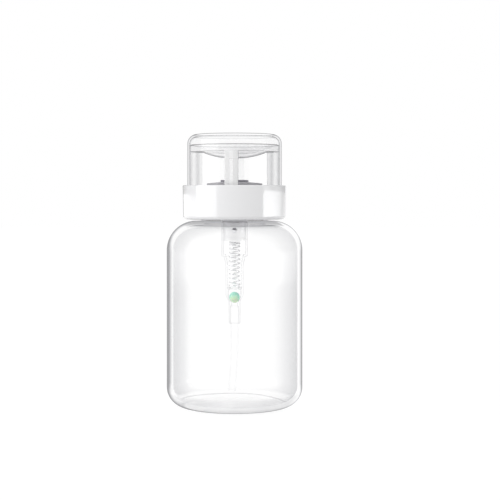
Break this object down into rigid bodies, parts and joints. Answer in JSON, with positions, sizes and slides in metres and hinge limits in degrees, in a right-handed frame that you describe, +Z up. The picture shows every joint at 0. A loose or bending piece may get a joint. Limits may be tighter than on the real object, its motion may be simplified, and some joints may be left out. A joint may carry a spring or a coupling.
{
  "type": "push-down liquid dispenser bottle",
  "caption": "Clear round bottle with a white screw collar, a small ball-valve pump and spring inside, a clear dish on legs that is pushed down, and a clear overcap.",
  "frame": {"origin": "centre of the foot, on the surface that the bottle stands on", "axes": "+Z up along the bottle; +X to the right and +Y away from the front"},
  "size_m": [0.06, 0.06, 0.12],
  "materials": {
    "clear_bottle": "clear moulded plastic, gloss",
    "clear_cover": "thin clear moulded plastic, gloss",
    "clear_dish": "thick clear moulded plastic, gloss",
    "clear_pump": "thin natural plastic, slightly milky",
    "white_collar": "white moulded plastic, gloss",
    "white_cap": "white moulded plastic, satin",
    "grey_nut": "mid grey moulded plastic, satin",
    "pale_piston": "pale natural plastic, satin",
    "gasket_foam": "soft white foam, matt",
    "seal_rubber": "black rubber, matt",
    "spring_steel": "bright drawn wire",
    "ball_steel": "polished steel",
    "green_ball": "mint green glass, polished"
  },
  "bodies": {
    "bottle": {"bottle": "clear_bottle"},
    "pump": {"pump_housing": "clear_pump", "gland_nut": "grey_nut", "drip_shield": "grey_nut", "stem_seal": "seal_rubber", "ball_cage": "clear_pump", "dip_tube": "clear_pump", "neck_gasket": "gasket_foam"},
    "collar": {"threaded_cap": "white_cap", "collar_shell": "white_collar"},
    "actuator": {"press_dish": "clear_dish", "leg_frame": "clear_dish", "outlet_nozzle": "clear_dish", "stem": "clear_pump", "piston": "pale_piston", "spring_seat": "pale_piston", "return_spring": "spring_steel"},
    "check_ball": {"check_ball": "green_ball"},
    "discharge_ball": {"discharge_ball": "ball_steel"},
    "overcap": {"overcap": "clear_cover"}
  },
  "joints": [
    {"name": "pump_lift", "type": "slide", "parent": "bottle", "child": "pump", "axis": [0, 0, 1], "range_m": [0, 0.0024]},
    {"name": "collar_turn", "type": "hinge", "parent": "pump", "child": "collar", "pos_m": [0, 0, 0.09], "axis": [0, 0, 1], "range_deg": [0, 270]},
    {"name": "dish_press", "type": "slide", "parent": "pump", "child": "actuator", "axis": [0, 0, 1], "range_m": [-0.004, 0], "stiffness_N_per_m": 400, "springref_m": 0.01, "deforming": ["return_spring"]},
    {"name": "check_ball_lift", "type": "slide", "parent": "pump", "child": "check_ball", "axis": [0, 0, 1], "range_m": [0, 0.0012]},
    {"name": "discharge_ball_lift", "type": "slide", "parent": "actuator", "child": "discharge_ball", "axis": [0, 0, 1], "range_m": [0, 0.0008]},
    {"name": "overcap_lift", "type": "slide", "parent": "collar", "child": "overcap", "axis": [0, 0, 1], "range_m": [0, 0.03]}
  ],
  "couplings": [
    {"joint": "pump_lift", "follows": "collar_turn", "m_per_rad": 0.0005093}
  ]
}
